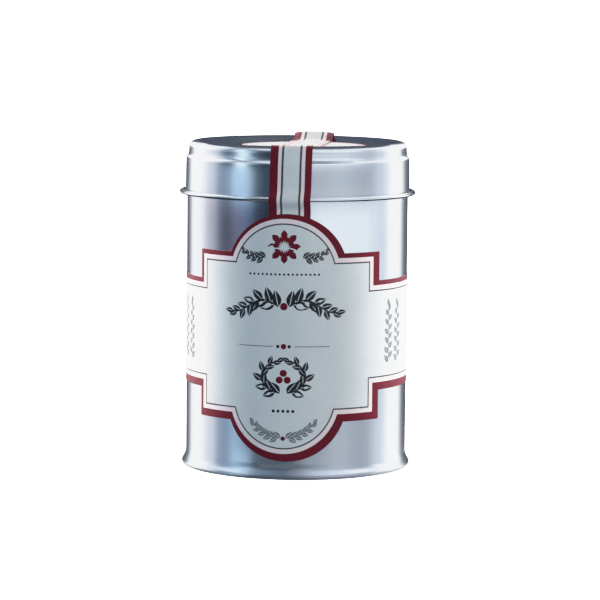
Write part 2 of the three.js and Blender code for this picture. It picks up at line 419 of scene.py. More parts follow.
def petalRingTree():  # the same petal set round a middle
    measures = ["Inner radius", "Petal size", "Turn"]
    tree, given, output = startTree("petalRing", {
        "Petals": "Int", **dict.fromkeys(measures, "Float"), "Material": "Material"})
    angle = plus(times(ratio(field(tree, "Index"), given["Petals"]), math.tau), given["Turn"])
    x = times(calc("COSINE", angle), given["Inner radius"])
    z = times(calc("SINE", angle), given["Inner radius"])
    points = addNode(tree, "GeometryNodePoints", {"Count": given["Petals"], "Position": joined(x, 0.0, z)})
    size = given["Petal size"]
    petals = through("InstanceOnPoints", points.outputs[0], Instance=given["Geometry"],
                     Rotation=joined(0.0, times(angle, -1.0), 0.0), Scale=joined(size, 1.0, size))
    endTree(petals, given["Material"], output)
    return tree


# Meshes

def meshOf(name, points, faces=(), edges=(), zones=None):
    mesh = bpy.data.meshes.new(name)
    mesh.from_pydata(points, edges, faces)
    if zones is not None:
        layer = mesh.attributes.new("zone", "INT", "FACE")
        layer.data.foreach_set("value", zones)
    return mesh


def dropObject(made):
    data = made.data
    bpy.data.objects.remove(made)
    if isinstance(data, bpy.types.Curve):
        bpy.data.curves.remove(data)
    elif data.users == 0:
        bpy.data.meshes.remove(data)


def addTree(made, tree, values):
    modifier = made.modifiers.new(tree.name, "NODES")
    modifier.node_group = tree
    for item in tree.interface.items_tree:
        if item.in_out == "INPUT" and item.name in values:
            modifier[item.identifier] = values[item.name]


def bakedMesh(source, name):  # the plain mesh of what the modifiers make
    bpy.context.view_layer.update()
    graph = bpy.context.evaluated_depsgraph_get()
    mesh = bpy.data.meshes.new_from_object(source.evaluated_get(graph), depsgraph=graph)
    mesh.name = name
    source.modifiers.clear()
    dropObject(source)
    return mesh


def facedOut(mesh):
    work = bmesh.new()
    work.from_mesh(mesh)
    bmesh.ops.recalc_face_normals(work, faces=work.faces)
    work.to_mesh(mesh)
    work.free()


sharpFrom = 38  # degrees between faces


def finishPiece(name, source, node=None):
    mesh = bakedMesh(source, name)
    facedOut(mesh)
    mesh.set_sharp_from_angle(angle=math.radians(sharpFrom))
    piece = objectOf(name, mesh)
    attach(piece, "root")
    if node:
        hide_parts(node)
    print(name, len(mesh.polygons), "faces")


# Lines of (radius, height) in millimetres

def spread(first, last, steps):
    return [first + (last - first) * i / steps for i in range(steps + 1)]


def arcLine(centre, radii, fromDegrees, toDegrees, steps):
    angles = [math.radians(a) for a in spread(fromDegrees, toDegrees, steps)]
    return [(centre[0] + radii[0] * math.cos(a), centre[1] + radii[1] * math.sin(a)) for a in angles]


def bezierLine(controls, steps):
    order = len(controls) - 1
    line = []
    for t in spread(0, 1, steps):
        weights = [math.comb(order, k) * t ** k * (1 - t) ** (order - k) for k in range(order + 1)]
        line.append(tuple(sum(w * c[axis] for w, c in zip(weights, controls)) for axis in (0, 1)))
    return line


def closeSet(line, longest):  # adds points so that no straight stretch is longer than this
    dense = [line[0]]
    for start, end in zip(line, line[1:]):
        steps = max(1, math.ceil(math.dist(start, end) / longest))
        dense += [tuple(a + (b - a) * i / steps for a, b in zip(start, end)) for i in range(1, steps + 1)]
    return dense


def lineObject(name, line, longest):  # points joined by edges, in the (radius, height) plane
    points = [(r * mm, 0.0, z * mm) for r, z in closeSet(line, longest)]
    return objectOf(name, meshOf(name, points, edges=[(i, i + 1) for i in range(len(points) - 1)]))


turnedFinish = {"segments": 240, "longestStretch": 2.0, "sheet": 0.22, "mergeWithin": 0.001}


def turnedPiece(name, line, node):
    source = lineObject(name, line, turnedFinish["longestStretch"])
    addTree(source, trees["turnProfile"], {"Segments": turnedFinish["segments"], "Material": tinplate})
    finishPiece(name, source, node)


# Body: a straight wall, hemmed inwards at the top, with a rolled foot
bodySizes = {
    "radius": 30, "top": 82.9, "hem": 0.65, "flareTop": 4.4, "flareSweep": 2.0, "flareTuck": 0.65,
    "rollCentre": (30.1, 0.85), "rollHalfWidth": 1.05, "rollHalfHeight": 0.85,
    "flatOuter": 30.05, "flatInner": 29.45, "legRadius": 29.2, "legTop": 1.5,
    "hemFrom": 260, "rollTo": -72,  # degrees
}


def bodyLine(depth):
    s = bodySizes
    wall = s["radius"] - depth
    hemCentre = (s["radius"] - s["hem"], s["top"] - s["hem"])
    hem = arcLine(hemCentre, (s["hem"] - depth,) * 2, s["hemFrom"], 0, steps=14)
    rollSize = (s["rollHalfWidth"] - depth, s["rollHalfHeight"] - depth)
    roll = arcLine(s["rollCentre"], rollSize, 0, s["rollTo"], steps=14)
    widest, widestHeight = roll[0]
    flare = bezierLine([(wall, s["flareTop"]), (wall, s["flareTop"] - s["flareSweep"]),
                        (widest, widestHeight + s["flareTuck"]), (widest, widestHeight)], steps=16)
    leg = s["legRadius"] + depth
    lip = s["flatInner"] - s["legRadius"] + depth / 2
    foot = [(s["flatOuter"], depth), (s["flatInner"], depth), (leg, lip), (leg, s["legTop"])]
    return hem + flare[:-1] + roll + foot


# Bottom end: a shallow dish held in the foot roll
endSizes = {"radius": 29.72, "panelTop": 2.6, "round": 0.9, "rimBottom": 0.45}


def endLine(depth):
    s = endSizes
    centre = (s["radius"] - s["round"], s["panelTop"] - s["round"])
    corner = arcLine(centre, (s["round"] - depth,) * 2, 90, 0, steps=8)
    return [(0, s["panelTop"] - depth), *corner, (s["radius"] - depth, s["rimBottom"])]


# Lid, with heights above its own lower edge
lidSizes = {
    "tinHeight": 88.3, "height": 14.45, "recess": 1.4, "panelRadius": 26.1, "crestRadius": 27.75,
    "rimWidth": 1.8, "rimDrop": 1.7, "stepTop": 12.4, "stepBottom": 9.1, "stepSweep": 2.6, "stepTuck": 1.6,
    "skirtTopRadius": 30.32, "curlCentre": (31.14, 0.65), "curlWidth": 0.91, "curlHeight": 0.65,
    "rimFrom": 165, "curlFrom": 180, "curlTo": 480,  # degrees
}
lidSeat = lidSizes["tinHeight"] - lidSizes["height"]
panelHeight = lidSizes["tinHeight"] - lidSizes["recess"]


def lidLine(depth):
    s = lidSizes
    panel = s["height"] - s["recess"] - depth
    rim = arcLine((s["crestRadius"], s["height"] - s["rimDrop"]),
                  (s["rimWidth"] - depth, s["rimDrop"] - depth), s["rimFrom"], 0, steps=26)
    ring = s["crestRadius"] + s["rimWidth"] - depth
    skirtTop = s["skirtTopRadius"] - depth
    step = bezierLine([(ring, s["stepTop"]), (ring, s["stepTop"] - s["stepSweep"]),
                       (skirtTop, s["stepBottom"] + s["stepTuck"]), (skirtTop, s["stepBottom"])], steps=22)
    inside = turnedFinish["sheet"] - depth  # the skirt's inner face becomes the outside of the curl
    curl = arcLine(s["curlCentre"], (s["curlWidth"] - inside, s["curlHeight"] - inside),
                   s["curlFrom"], s["curlTo"], steps=40)
    line = [(0, panel), (s["panelRadius"], panel), *rim[:-1], *step, *curl]
    return [(r, z + lidSeat) for r, z in line]


def sheetLine(face, closedLoop=False):  # both faces of a pressed sheet
    outer = face(0)
    both = outer + face(turnedFinish["sheet"])[::-1]
    return both + outer[:1] if closedLoop else both


tinplate = tinplateMaterial()
trees = {"turnProfile": turnProfileTree()}
turnedPiece("tin_wall", sheetLine(bodyLine, True), "tin_body")
turnedPiece("tin_bottom", sheetLine(endLine), "bottom_end")
turnedPiece("slip_lid", sheetLine(lidLine), "lid")

# material's name, lighter and deeper colour, roughness, gloss, sheen
inks = {
    "white": paperMaterial("paperWhite", (0.86, 0.78, 0.80), (0.80, 0.72, 0.74), 0.5, 0.35),
    "field": paperMaterial("paperField", (0.70, 0.755, 0.765), (0.65, 0.705, 0.72), 0.5, 0.35),
    "red": paperMaterial("burgundyInk", (0.165, 0.008, 0.022), (0.13, 0.006, 0.017), 0.5, 0.13, 0.35),
    "rule": paperMaterial("ruleInk", (0.075, 0.075, 0.085), (0.05, 0.05, 0.06), 0.45, 0.35, 0.35),
    "dark": paperMaterial("darkInk", (0.022, 0.026, 0.034), (0.013, 0.016, 0.022), 0.45, 0.35),
    "grey": paperMaterial("greyInk", (0.23, 0.25, 0.27), (0.17, 0.19, 0.21), 0.48, 0.35),
}
zoneNames = ["red", "white", "rule", "field"]
fieldZone = zoneNames.index("field")
trees["wrapZones"] = wrapRoundTree(zoneNames)
trees["wrapInk"] = wrapRoundTree(["ink"])
trees["layStrip"] = layStripTree(zoneNames)
trees["leafSprig"] = leafSprigTree()
trees["petalRing"] = petalRingTree()
print("trees and materials made")


# Wrapped label: a plaque with an arch above and below, on a band that goes round the tin
labelSizes = {
    "centreHeight": 37.8, "bandHalf": 14.65, "plaqueHalfWidth": 27.2, "plaqueHalf": 22.4,
    "archHalfChord": 15.65, "archRise": 10.45, "lap": 6.2, "lapRamp": 5.5,
    "paper": 0.12, "glue": 0.03,
    "redBorder": 1.65, "whiteGap": 1.2, "rule": 0.38,  # widths of the printed lines
    "printShift": (-0.6, 0.4),  # the print sits a little off the cut
    "liftRun": 1.2,  # over which it climbs onto the tucked strip
}
labelRadius = bodySizes["radius"] + labelSizes["glue"]
backHalf = math.pi * labelRadius
labelSteps = {"band": 72, "side": 8, "ledge": 12, "arch": 48, "middle": 14}


def brokenLine(corners, counts):  # so many steps from each corner to the next
    line = corners[:1]
    for (x0, y0), (x1, y1), count in zip(corners, corners[1:], counts):
        line += list(zip(spread(x0, x1, count), spread(y0, y1, count)))[1:]
    return line


def labelEdge(inset, across):  # upper edge of the label at a distance inside the cut, from end to end
    s = labelSizes
    band = s["bandHalf"] - inset
    side = s["plaqueHalfWidth"] - inset
    top = s["plaqueHalf"] - inset
    archRadius = (s["archHalfChord"] ** 2 + s["archRise"] ** 2) / (2 * s["archRise"])
    archCentre = s["plaqueHalf"] + s["archRise"] - archRadius
    radius = archRadius - inset
    start = math.degrees(math.asin((top - archCentre) / radius))
    chord = radius * math.cos(math.radians(start))
    # from the left end to the arch, over it, and on to the right end
    counts = [labelSteps[name] for name in ("band", "side", "ledge")]
    low = across - side
    high = across + side
    left = [(-backHalf, band), (low, band), (low, top), (across - chord, top)]
    right = [(across + chord, top), (high, top), (high, band), (backHalf + s["lap"], band)]
    arch = arcLine((across, archCentre), (radius, radius), 180 - start, start, labelSteps["arch"])
    return brokenLine(left, counts) + arch[1:] + brokenLine(right, counts[::-1])[1:]


def woven(first, second, rows, zone):  # rows of quads between two lines with as many points
    columns = [brokenLine([a, b], [rows]) for a, b in zip(first, second)]
    return [((left[i], right[i], right[i + 1], left[i + 1]), zone)
            for left, right in zip(columns, columns[1:]) for i in range(rows)]


def labelFaces():  # flat rings of print between the edges, and the field inside the last one
    s = labelSizes
    steps = labelSteps
    insets = [0]
    for name in ("redBorder", "whiteGap", "rule"):
        insets.append(insets[-1] + s[name])
    shifts = [(0, 0)] + [s["printShift"]] * fieldZone
    quads = []
    inside = []
    for sign in (1, -1):
        edges = [[(u, sign * v + up) for u, v in labelEdge(inset, across)]
                 for inset, (across, up) in zip(insets, shifts)]
        for zone in range(fieldZone):
            quads += woven(edges[zone], edges[zone + 1], 1, zone)
        inside.append(edges[-1])
    upper, lower = inside
    first = steps["band"] + steps["side"]
    last = len(upper) - 1 - first
    spots = upper[:steps["band"] + 1] + upper[first + 1:last] + upper[-1 - steps["band"]:]
    bottom, top = ([(u, line[0][1]) for u, v in spots] for line in (lower, upper))
    quads += woven(bottom, top, steps["middle"], fieldZone)
    for line in inside:
        wing = line[first:last + 1]
        quads += woven([(u, line[0][1]) for u, v in wing], wing, steps["side"], fieldZone)
    return quads


def smoothStep(low, high, value):
    t = min(1.0, max(0.0, (value - low) / (high - low)))
    return t * t * (3 - 2 * t)


def labelLift(u, height):  # how far the label stands out, over the tucked strip and where its ends lap
    s = labelSizes
    half = sealSizes["width"] / 2
    overStrip = smoothStep(half + s["liftRun"], half, abs(u - sealSizes["startOffset"]))
    overStrip *= smoothStep(sealSizes["frontEnd"] - s["liftRun"], sealSizes["frontEnd"], height)
    climb = smoothStep(backHalf - s["lapRamp"], backHalf, u)
    return (sealSizes["paper"] + s["glue"]) * overStrip + (s["paper"] + s["glue"]) * climb


mergeWithin = 0.002  # mm


def sheetMesh(name, quads, lift, base):  # flat quads (sideways, height) to a mesh facing out, doubles merged
    points = []
    faces = []
    zones = []
    for corners, zone in quads:
        faces.append(tuple(range(len(points), len(points) + 4)))
        points += [(u * mm, lift(u, v + base) * mm, (v + base) * mm) for u, v in corners]
        zones.append(zone)
    mesh = meshOf(name, points, faces, zones=zones)
    work = bmesh.new()
    work.from_mesh(mesh)
    bmesh.ops.remove_doubles(work, verts=work.verts, dist=mergeWithin * mm)
    for face in work.faces:
        face.normal_update()
        if face.normal.y < 0:
            face.normal_flip()
    work.to_mesh(mesh)
    work.free()
    return mesh


def addThickness(made, thickness):
    solid = made.modifiers.new("paperThickness", "SOLIDIFY")
    solid.thickness = thickness * mm
    solid.offset = 1.0


def wrapLabel():
    mesh = sheetMesh("wrap_label", labelFaces(), labelLift, labelSizes["centreHeight"])
    source = objectOf("wrap_label", mesh)
    addThickness(source, labelSizes["paper"])
    addTree(source, trees["wrapZones"], {"Radius": labelRadius * mm, **inks})
    finishPiece("wrap_label", source, "body_label")


# Seal strip: glued to the wall under the label, over the curl and the rim, across the lid and down the back
sealSizes = {
    "width": 11.0, "frontEnd": 62.6, "backEnd": 59.6, "startOffset": 0.55, "lean": 0.018,
    "paper": 0.12, "glue": 0.02,
    "frontFold": (0.18, 2.6), "backFold": (1.0, 7.0),  # rise over the crest, run of the ramp inside it
    "crown": 0.75, "crownFrom": 17.0, "crownTo": 23.0,  # droop of its edges at the back
    "printShift": 0.2, "fieldHalf": 2.1, "ruleTo": 2.65, "whiteTo": 3.55,  # half widths of the stripes
    "stepAlong": 0.5, "stepAcross": 0.6, "stepOfPath": 0.4,
    "foldHighlightDepth": 0.12,  # painted highlight along the front fold, where the strip rises to this far below its top: one row of white paper in place of the field ink
}
# Its way over the lid: gaps from the metal, and heights above the lid's lower edge
sealRoute = {
    "curlGap": 0.05, "skirtGap": 0.16, "shoulderGap": 0.06, "rimGap": 0.12, "panelGap": 0.1,
    "leavesWall": -2.8, "onSkirt": 4.0, "onRim": 12.65, "pastCrest": 0.3,
    # how far the bends' handles reach out and up from their ends
    "wallPull": (0, 1.6), "underCurlPull": (0, -1.25), "overCurlPull": (0, 0.95), "skirtPull": (0.02, -2.0),
    "shoulderPull": (-0.02, 1.45), "ringPull": (0.24, -1.1), "foldGap": 0.02, "foldDrop": 0.7,
    "foldOut": 1.25, "rampShares": (0.22, 0.62),
}


def bend(start, startPull, endPull, end, steps=14):
    first = (start[0] + startPull[0], start[1] + startPull[1])
    second = (end[0] + endPull[0], end[1] + endPull[1])
    return bezierLine([start, first, second, end], steps)


def sealSide(end, rise, ramp):  # (distance from the axis, height), from the end up to the lid label
    s = sealRoute
    wall = bodySizes["radius"] + sealSizes["glue"]
    skirtTop = lidSizes["skirtTopRadius"]
    crest = lidSizes["crestRadius"]
    ring = crest + lidSizes["rimWidth"]
    top = lidSizes["tinHeight"] + rise
    lying = panelHeight + lidLabelSizes["paper"] + s["panelGap"]
    leave = (wall, lidSeat + s["leavesWall"])
    curlOut, curlMiddle = lidSizes["curlCentre"]
    curl = (curlOut + lidSizes["curlWidth"] + s["curlGap"], lidSeat + curlMiddle)
    skirt = (skirtTop + s["skirtGap"], lidSeat + s["onSkirt"])
    shoulder = (skirtTop + s["shoulderGap"], lidSeat + lidSizes["stepBottom"])
    rim = (ring + s["rimGap"], lidSeat + s["onRim"])
    over = crest - s["pastCrest"]
    fold = [rim, (ring + s["foldGap"], top - s["foldDrop"]), (crest + s["foldOut"], top), (over, top)]
    early, late = (over - ramp * share for share in s["rampShares"])
    return [
        (wall, end),
        *bend(leave, s["wallPull"], s["underCurlPull"], curl),
        *bend(curl, s["overCurlPull"], s["skirtPull"], skirt)[1:],
        *bend(shoulder, s["shoulderPull"], s["ringPull"], rim),
        *bezierLine(fold, steps=18)[1:],
        *bezierLine([(over, top), (early, top), (late, lying), (over - ramp, lying)], steps=16)[1:],
        (lidLabelSizes["radius"] / 2, lying),
    ]


def sealPath():
    front = [(0.0, -r * mm, z * mm) for r, z in sealSide(sealSizes["frontEnd"], *sealSizes["frontFold"])]
    back = [(0.0, r * mm, z * mm) for r, z in sealSide(sealSizes["backEnd"], *sealSizes["backFold"])]
    line = closeSet(front + back[::-1], sealSizes["stepOfPath"] * mm)
    data = bpy.data.curves.new("sealPath", "CURVE")
    data.dimensions = "3D"
    spline = data.splines.new("POLY")
    spline.points.add(len(line) - 1)
    for point, place in zip(spline.points, line):
        point.co = (*place, 1.0)
    spans = [math.dist(a, b) / mm for a, b in zip(line, line[1:])]
    # where the painted highlight along the front fold lies: the first point of the path higher than this
    foldHighlightHeight = (lidSizes["tinHeight"] + sealSizes["frontFold"][0] - sealSizes["foldHighlightDepth"]) * mm
    firstHigh = next(i for i, place in enumerate(line) if place[2] > foldHighlightHeight)
    return objectOf("sealPath", data), sum(spans), sum(spans[:firstHigh])


def sealStrip():
    s = sealSizes
    path, pathLength, foldHighlightAt = sealPath()
    half = s["width"] / 2
    stripes = [s["fieldHalf"], s["ruleTo"], s["whiteTo"]]
    printed = [b + s["printShift"] for b in [-b for b in stripes[::-1]] + stripes]
    bounds = [-half, *printed, half]
    red, white, rule = range(fieldZone)
    stripeZones = [red, white, rule, fieldZone, rule, white, red]
    rows = spread(0, pathLength, round(pathLength / s["stepAlong"]))
    quads = []
    for low, high in zip(rows, rows[1:]):
        # a painted highlight along the front fold: the field stripe is white paper for this one row
        inFoldHighlight = low <= foldHighlightAt < high
        for zone, left, right in zip(stripeZones, bounds, bounds[1:]):
            zone = white if inFoldHighlight and zone == fieldZone else zone
            cuts = spread(left, right, max(1, round((right - left) / s["stepAcross"])))
            for a, b in zip(cuts, cuts[1:]):
                quads.append((((a, low), (b, low), (b, high), (a, high)), zone))
    source = objectOf("seal_band", sheetMesh("seal_band", quads, lambda u, v: 0.0, 0.0))
    addThickness(source, s["paper"])
    lengths = {
        "Barrel": bodySizes["radius"], "Flat from": lidLabelSizes["radius"],
        "Round from": lidSizes["panelRadius"], "Offset": s["startOffset"], "Half width": half,
        "Crown": s["crown"], "Crown from": s["crownFrom"], "Crown to": s["crownTo"]}
    values = {name: length * mm for name, length in lengths.items()}
    addTree(source, trees["layStrip"], {"Path": path, "Lean": s["lean"], **values, **inks})
    finishPiece("seal_band", source, "seal_strip")
    dropObject(path)


# Round label on the lid, set a little to the right
lidLabelSizes = {
    "radius": 16.8, "offset": 1.6, "paper": 0.12, "glue": 0.03, "segments": 120,
    "redBorder": 1.4, "whiteGap": 0.95, "rule": 0.35, "innerRings": (0.75, 0.5, 0.25),
}


def lidRound():
    s = lidLabelSizes
    radii = [s["radius"]]
    for name in ("redBorder", "whiteGap", "rule"):
        radii.append(radii[-1] - s[name])
    rings = radii + [radii[-1] * part for part in s["innerRings"]]
    count = s["segments"]
    base = (panelHeight + s["glue"]) * mm
    turns = [(math.cos(a), math.sin(a)) for a in spread(0, math.tau, count)[:-1]]
    points = [((s["offset"] + ring * x) * mm, ring * y * mm, base) for ring in rings for x, y in turns]
    centre = len(points)
    points.append((s["offset"] * mm, 0.0, base))
    faces = []
    zones = []
    for i in range(len(rings)):
        outer = i * count
        inner = outer + count
        for k in range(count):
            after = (k + 1) % count
            within = (centre,) if inner == centre else (inner + after, inner + k)
            faces.append((outer + k, outer + after, *within))
            zones.append(min(i, fieldZone))
    mesh = meshOf("lid_round", points, faces)
    for name in zoneNames:
        mesh.materials.append(inks[name])
    mesh.polygons.foreach_set("material_index", zones)
    source = objectOf("lid_round", mesh)
    addThickness(source, s["paper"])
    finishPiece("lid_round", source, "lid_label")


wrapLabel()
sealStrip()
lidRound()


# Printed ornament: leaf sprigs, a rosette, a small wreath and dots, as thin raised ink
printForm = {
    "depth": 0.02, "lift": 0.004, "stemStep": 0.35, "ruleStep": 0.8,  # mm
    "outlineSteps": 9, "dotSides": 12,
    "leafWidth": 0.5, "leafVein": 0.05, "veinFrom": 0.08, "veinTo": 0.9,  # shares of a leaf's length
    "leafFullness": 0.8, "petalFullness": 1.5,
}


def inkShape(name, outlines):  # thin solids from closed outlines in the (sideways, height) plane
    points = []
    faces = []
    for outline in outlines:
        count = len(outline)
        start = len(points)
        points += [(x * mm, 0.0, z * mm) for x, z in outline]
        points += [(x * mm, printForm["depth"] * mm, z * mm) for x, z in outline]
        faces.append(tuple(range(start, start + count)))
        faces.append(tuple(range(start + 2 * count - 1, start + count - 1, -1)))
        for i in range(count):
            j = (i + 1) % count
            faces.append((start + i, start + count + i, start + count + j, start + j))
    mesh = meshOf(name, points, faces)
    facedOut(mesh)
    return mesh


def bulge(width, fullness):  # one side of a leaf or a petal, of unit length along x
    steps = printForm["outlineSteps"]
    return [(t, width / 2 * math.sin(math.pi * t ** fullness)) for t in spread(0.0, 1.0, steps)]


def leafOutlines():  # a pointed leaf split by its vein
    s = printForm
    vein = s["leafVein"] / 2
    halves = []
    for sign in (1, -1):
        rim = [(t, sign * (vein + z)) for t, z in bulge(s["leafWidth"], s["leafFullness"])]
        halves.append(rim + [(s["veinTo"], sign * vein), (s["veinFrom"], sign * vein)])
    return halves


def petalOutline(width):  # a petal broad towards its tip
    upper = bulge(width, printForm["petalFullness"])
    return [upper + [(t, -z) for t, z in upper[-2:0:-1]]]


def dotOutline(radius):
    angles = spread(0, math.tau, printForm["dotSides"])[:-1]
    return [[(radius * math.cos(angle), radius * math.sin(angle)) for angle in angles]]


leafShape = objectOf("leafShape", inkShape("leafShape", leafOutlines()))


def sprig(line, leaves, size, tip, angle, stem, seed):
    source = lineObject("sprig", line, printForm["stemStep"])
    addTree(source, trees["leafSprig"], {
        "Leaf": leafShape, "Leaves": leaves, "Leaf size": float(size), "Tip share": float(tip),
        "Leaf angle": math.radians(angle), "Stem width": stem * mm, "Ink depth": printForm["depth"] * mm,
        "Seed": seed, "Material": inks["dark"]})
    return bakedMesh(source, "sprig")


def rosette(petals, inner, size, width, turn=0.0):
    source = objectOf("rosette", inkShape("rosette", petalOutline(width)))
    addTree(source, trees["petalRing"], {
        "Petals": petals, "Inner radius": inner * mm, "Petal size": float(size), "Turn": math.radians(turn),
        "Material": inks["red"]})
    return bakedMesh(source, "rosette")


def gather(parts):  # joins parts given as (mesh, sideways, height, mirrored) into one flat mesh
    work = bmesh.new()
    for mesh, x, z, mirrored in parts:
        copy = mesh.copy()
        side = Matrix.Diagonal((-1 if mirrored else 1, 1, 1, 1))
        copy.transform(Matrix.Translation((x * mm, 0.0, z * mm)) @ side)
        work.from_mesh(copy)
        bpy.data.meshes.remove(copy)
    for face in work.faces:
        face.material_index = 0
    made = bpy.data.meshes.new("print")
    work.to_mesh(made)
    work.free()
    return made


def dots(places, radius):
    shape = inkShape("dot", dotOutline(radius))
    return [(shape, x, z, False) for x, z in places]


def printOnLabel(name, parts, ink):
    mesh = gather(parts)
    top = (labelSizes["paper"] + printForm["lift"]) * mm
    base = labelSizes["centreHeight"]
    for vertex in mesh.vertices:
        u = vertex.co.x / mm
        height = vertex.co.z / mm + base
        vertex.co.y += top + labelLift(u, height) * mm
        vertex.co.z = height * mm
    source = objectOf(name, mesh)
    addTree(source, trees["wrapInk"], {"Radius": labelRadius * mm, "ink": inks[ink]})
    finishPiece(name, source)


def wave(start, end, height, turns, steps=24):
    run = (end - start) / turns
    return [(x, height * math.sin(math.tau * (x - start) / run)) for x in spread(start, end, steps)]


def thinRule(length, width):  # cut into short lengths so that it bends with the label
    cuts = spread(-length / 2, length / 2, math.ceil(length / printForm["ruleStep"]))
    half = width / 2
    outlines = [[(a, -half), (b, -half), (b, half), (a, half)] for a, b in zip(cuts, cuts[1:])]
    return inkShape("thinRule", outlines)


def dotRow(height, radius, beside=0, gap=0.0):  # a dot in the middle and some at each side of it
    middle = labelSizes["printShift"][0]
    return dots([(middle + gap * k, height) for k in range(-beside, beside + 1)], radius)


# heights are from the middle of the label, columns are places sideways
ornament = {
    "rosette": 24.2, "topSprigs": 23.4, "topDots": 16.9, "garland": 8.4, "rules": -2.2, "wreath": -10.3,
    "berries": [(0, -9.3), (-1.05, -11.1), (1.05, -11.1)], "lowDots": -19.4, "tails": -16.0, "lastDot": -26.7,
    "columns": (-37.5, -33, 31.5, 36), "ruleMiddle": 7.6, "ruleDots": 1.5,
}


def labelOrnament():
    s = ornament
    middle = labelSizes["printShift"][0]

    def pair(mesh, height):  # as it is, and mirrored about the middle
        return [(mesh, middle, height, mirrored) for mirrored in (False, True)]

    # top arch: a rosette between two sprigs, over a row of dots
    large = rosette(petals=8, inner=0.95, size=3.5, width=0.5)
    small = rosette(petals=8, inner=0.9, size=1.9, width=0.6, turn=22.5)
    red = [(ring, middle, s["rosette"], False) for ring in (large, small)]
    line = arcLine((6.6, 0), (4.6, 2.2), 250, 345, steps=14)
    dark = pair(sprig(line, leaves=9, size=2.4, tip=0.6, angle=42, stem=0.26, seed=3), s["topSprigs"])
    dark += dotRow(s["topDots"], 0.3, beside=8, gap=1.15)
    # middle: a long waving garland, mirrored about a berry
    line = wave(1.5, 14.4, height=1.7, turns=0.8)
    dark += pair(sprig(line, leaves=13, size=4.4, tip=0.55, angle=44, stem=0.42, seed=11), s["garland"])
    red += dotRow(s["garland"], 1.0)
    # a thin rule broken by three dots
    for side in (-1, 1):
        dark.append((thinRule(length=9.4, width=0.16), middle + side * s["ruleMiddle"], s["rules"], False))
    dark += dots([(middle + side * s["ruleDots"], s["rules"]) for side in (-1, 1)], 0.45)
    red += dotRow(s["rules"], 0.75)
    # below: a wreath of two bold branches round a cluster of berries
    line = arcLine((0, 0), (5.9, 4.3), -80, 74, steps=22)
    dark += pair(sprig(line, leaves=12, size=3.7, tip=0.6, angle=40, stem=0.44, seed=23), s["wreath"])
    red += dots([(middle + x, z) for x, z in s["berries"]], 0.95)
    # bottom arch: a short row of dots and leaves along the arc
    dark += dotRow(s["lowDots"], 0.42, beside=2, gap=1.3)
    line = arcLine((0, 0), (10.6, 10.6), -86, -40, steps=20)
    grey = pair(sprig(line, leaves=11, size=2.5, tip=0.7, angle=36, stem=0.24, seed=31), s["tails"])
    red += dotRow(s["lastDot"], 0.6)
    # side bands: two short columns of leaves each side
    line = [(0, -7.5), (0, 7.5)]
    column = sprig(line, leaves=13, size=2.6, tip=0.8, angle=48, stem=0.22, seed=43)
    grey += [(column, x, 0.0, x < 0) for x in s["columns"]]
    printOnLabel("label_print_dark", dark, "dark")
    printOnLabel("label_print_red", red, "red")
    printOnLabel("label_print_grey", grey, "grey")


labelOrnament()
dropObject(leafShape)
print("ornament printed")


# Studio: a white floor and a softbox at each side, cooler and darker on the left, lighter on the right
studio = {
    "fillLeft": (0.16, 0.45, 0.65),
    "fillRight": (1.70, 1.66, 1.66),
    "slate": (0.07, 0.08, 0.105),
    "overhead": (0.10, 0.115, 0.14),
    "below": (0.02, 0.03, 0.045),
    "floorGlow": (1.0, 1.03, 1.06),
    "fillTop": (0.44, 0.37, 0.375),
    # heights between which each comes in, from -1 below to 1 above, and how far it does
    "overheadSpan": (0.42, 0.62),
    "glowSpan": (-0.1, -0.17, 0, 0.05),
    "belowSpan": (-0.2, -0.5),
    "fillTopSpan": (0.35, 0.75),
    "dimBelow": (0.3, -0.6, 0, 0.8),
    "dimBehind": (0.0, 0.6, 0, 0.85),  # along +Y
    "panelEdge": (0.45, 1.1),  # shares of a panel's half width between which it fades
    # azimuth seen from the camera's side, half width, colour
    "panels": [
        (-100, 22, (0.84, 0.87, 0.94)),
        (-83, 12, (0.25, 0.34, 0.47)),
        (-60, 16, (0.60, 0.85, 1.10)),
        (-19, 23, (0.018, 0.055, 0.10)),
        (22, 26, (0.44, 0.49, 0.56)),
        (48, 22, (0.49, 0.545, 0.62)),
        (74, 18, (0.40, 0.45, 0.52)),
        (98, 16, (0.72, 0.78, 0.88)),
        (-128, 21, (1.40, 1.42, 1.46)),
        (123, 21, (1.40, 1.42, 1.46)),
    ],
}


def makeWorld():
    world = bpy.data.worlds.new("studio")
    scene.world = world
    tree = emptyTree(world)
    s = studio
    black = (0.0, 0.0, 0.0)
    x, y, height = parted(addNode(tree, "ShaderNodeTexCoord").outputs["Generated"])
    around = calc("ARCTAN2", x, times(y, -1.0))
    azimuth = minus(times(around, math.degrees(1)), cameraPlace["azimuth"])
    seen = s["slate"]
    for middle, half, colour in s["panels"]:
        off = calc("ABSOLUTE", calc("WRAP", minus(azimuth, middle), 180.0, -180.0))
        full, gone = (half * share for share in s["panelEdge"])
        seen = blended(spanned(off, full, gone, 1, 0, True), seen, colour)
    seen = blended(spanned(height, *s["overheadSpan"], smooth=True), seen, s["overhead"])
    seen = blended(spanned(height, *s["glowSpan"]), seen, s["floorGlow"])
    seen = blended(spanned(height, *s["belowSpan"], smooth=True), seen, s["below"])
    fill = blended(spanned(x, -1.0, 1.0), s["fillLeft"], s["fillRight"])
    fill = blended(spanned(height, *s["dimBelow"]), fill, black)
    fill = blended(spanned(y, *s["dimBehind"], smooth=True), fill, black)
    fill = blended(spanned(height, *s["fillTopSpan"], smooth=True), fill, s["fillTop"])
    path = addNode(tree, "ShaderNodeLightPath").outputs
    shown = blended(path["Is Glossy Ray"], fill, seen)
    shown = blended(path["Is Camera Ray"], shown, (toneShoulder["reach"],) * 3)
    background = addNode(tree, "ShaderNodeBackground", {"Color": shown})
    addNode(tree, "ShaderNodeOutputWorld", {"Surface": background.outputs[0]})


